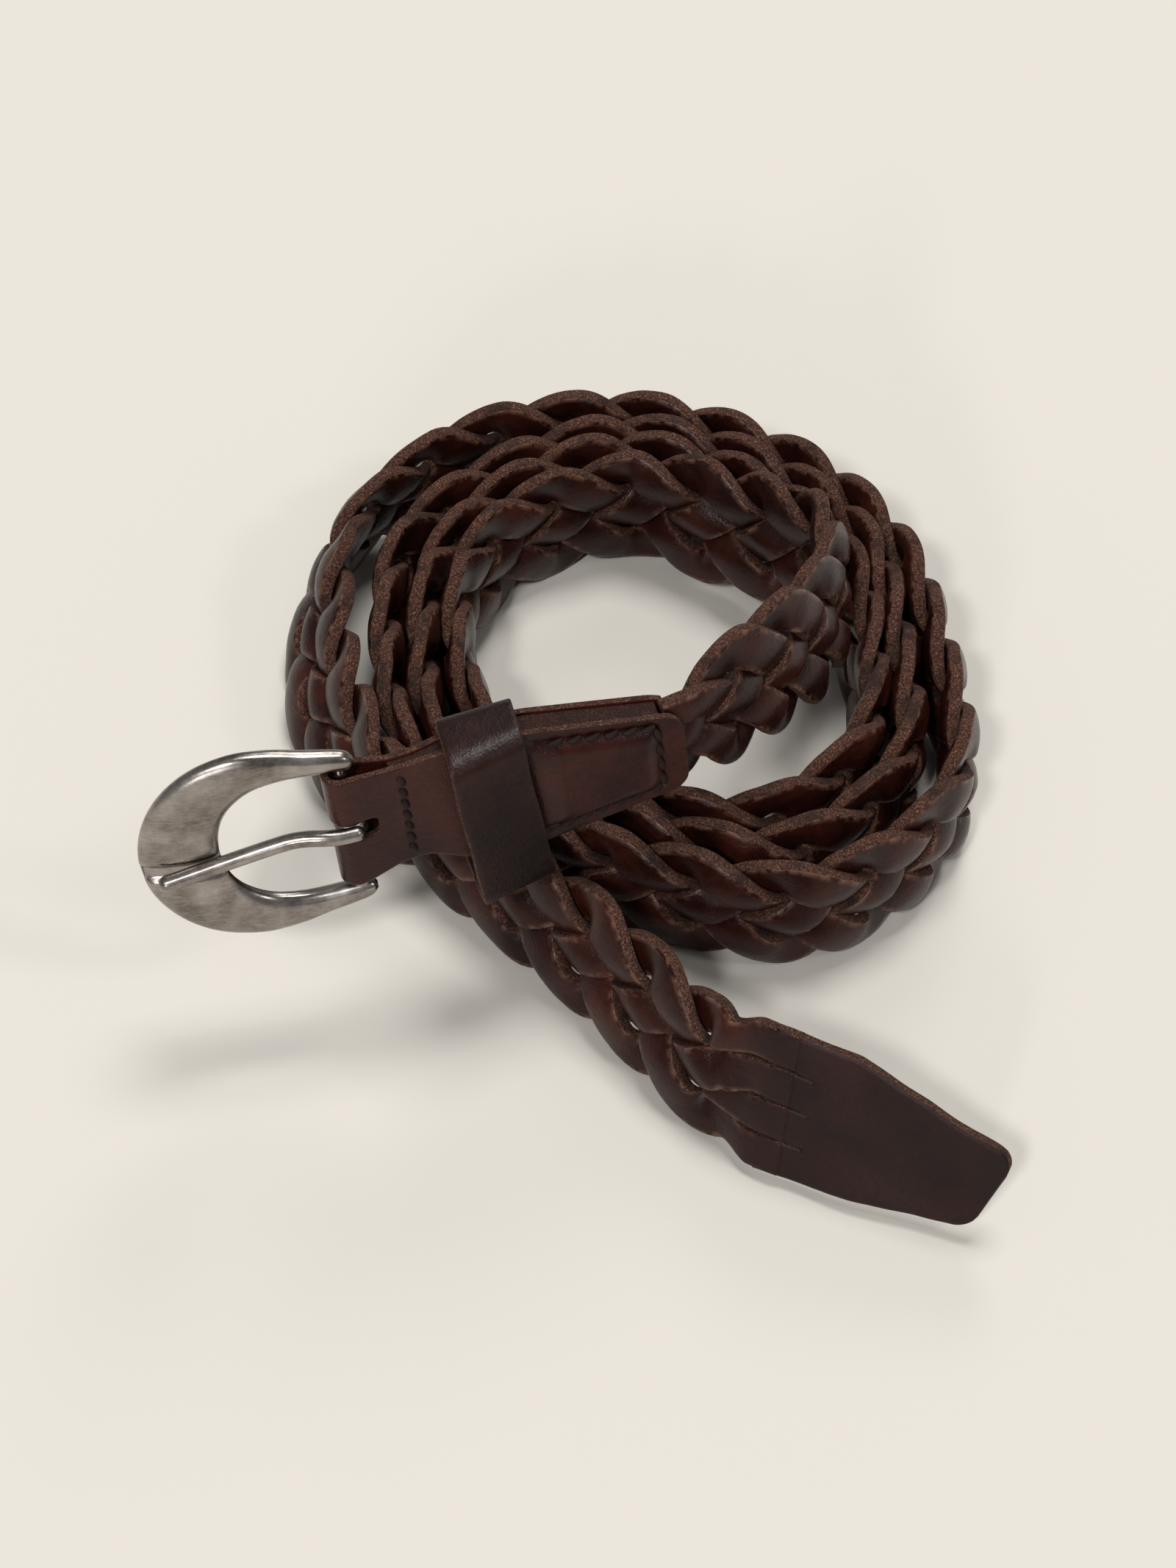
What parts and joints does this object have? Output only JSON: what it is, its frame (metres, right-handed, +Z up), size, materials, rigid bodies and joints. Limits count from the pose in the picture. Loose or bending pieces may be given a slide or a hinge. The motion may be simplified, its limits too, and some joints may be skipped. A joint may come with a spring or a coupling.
{
  "type": "braided leather belt",
  "caption": "Braided leather belt wound into a coil and stood on edge, with a solid tapered tip, a stitched folded end, a loose keeper loop and a horseshoe pin buckle.",
  "frame": {"origin": "middle of the outline at the floor, under the wound belt", "axes": "+Z up, across the strap's width, which stands on edge; +Y from the tip's side to the back of the coil; +X to the right with the buckle at the left"},
  "size_m": [0.1547, 0.1888, 0.0672],
  "materials": {
    "strand_leather": "glossy, fine grain",
    "chape_leather": "glossy, fine grain",
    "keeper_leather": "satin, pebble grain",
    "raw_leather": "rough cut edge",
    "thread": "waxed thread",
    "staple_wire": "plain wire",
    "nickel": "satin nickel plate"
  },
  "bodies": {
    "strap": {"strand_1": "strand_leather", "strand_2": "strand_leather", "strand_3": "strand_leather", "strand_4": "strand_leather", "tip": "strand_leather", "chape": "chape_leather", "tab": "chape_leather", "liner": "raw_leather", "bar_stitches": "thread", "tab_stitches": "thread"},
    "keeper": {"keeper": "keeper_leather", "keeper_staple": "staple_wire"},
    "buckle": {"buckle_frame": "nickel", "heel_bar": "nickel"},
    "prong": {"prong": "nickel"}
  },
  "joints": [
    {"name": "buckle_hinge", "type": "hinge", "parent": "strap", "child": "buckle", "pos_m": [-0.0401, -0.0378, 0.048], "axis": [-0.1038, 0.1157, 0.9879], "range_deg": [-35, 10]},
    {"name": "prong_hinge", "type": "hinge", "parent": "buckle", "child": "prong", "pos_m": [-0.0401, -0.0378, 0.048], "axis": [-0.1038, 0.1157, 0.9879], "range_deg": [0, 80]},
    {"name": "keeper_slide", "type": "slide", "parent": "strap", "child": "keeper", "axis": [0.9613, 0.2666, 0.0698], "range_m": [-0.007, 0.022]}
  ]
}
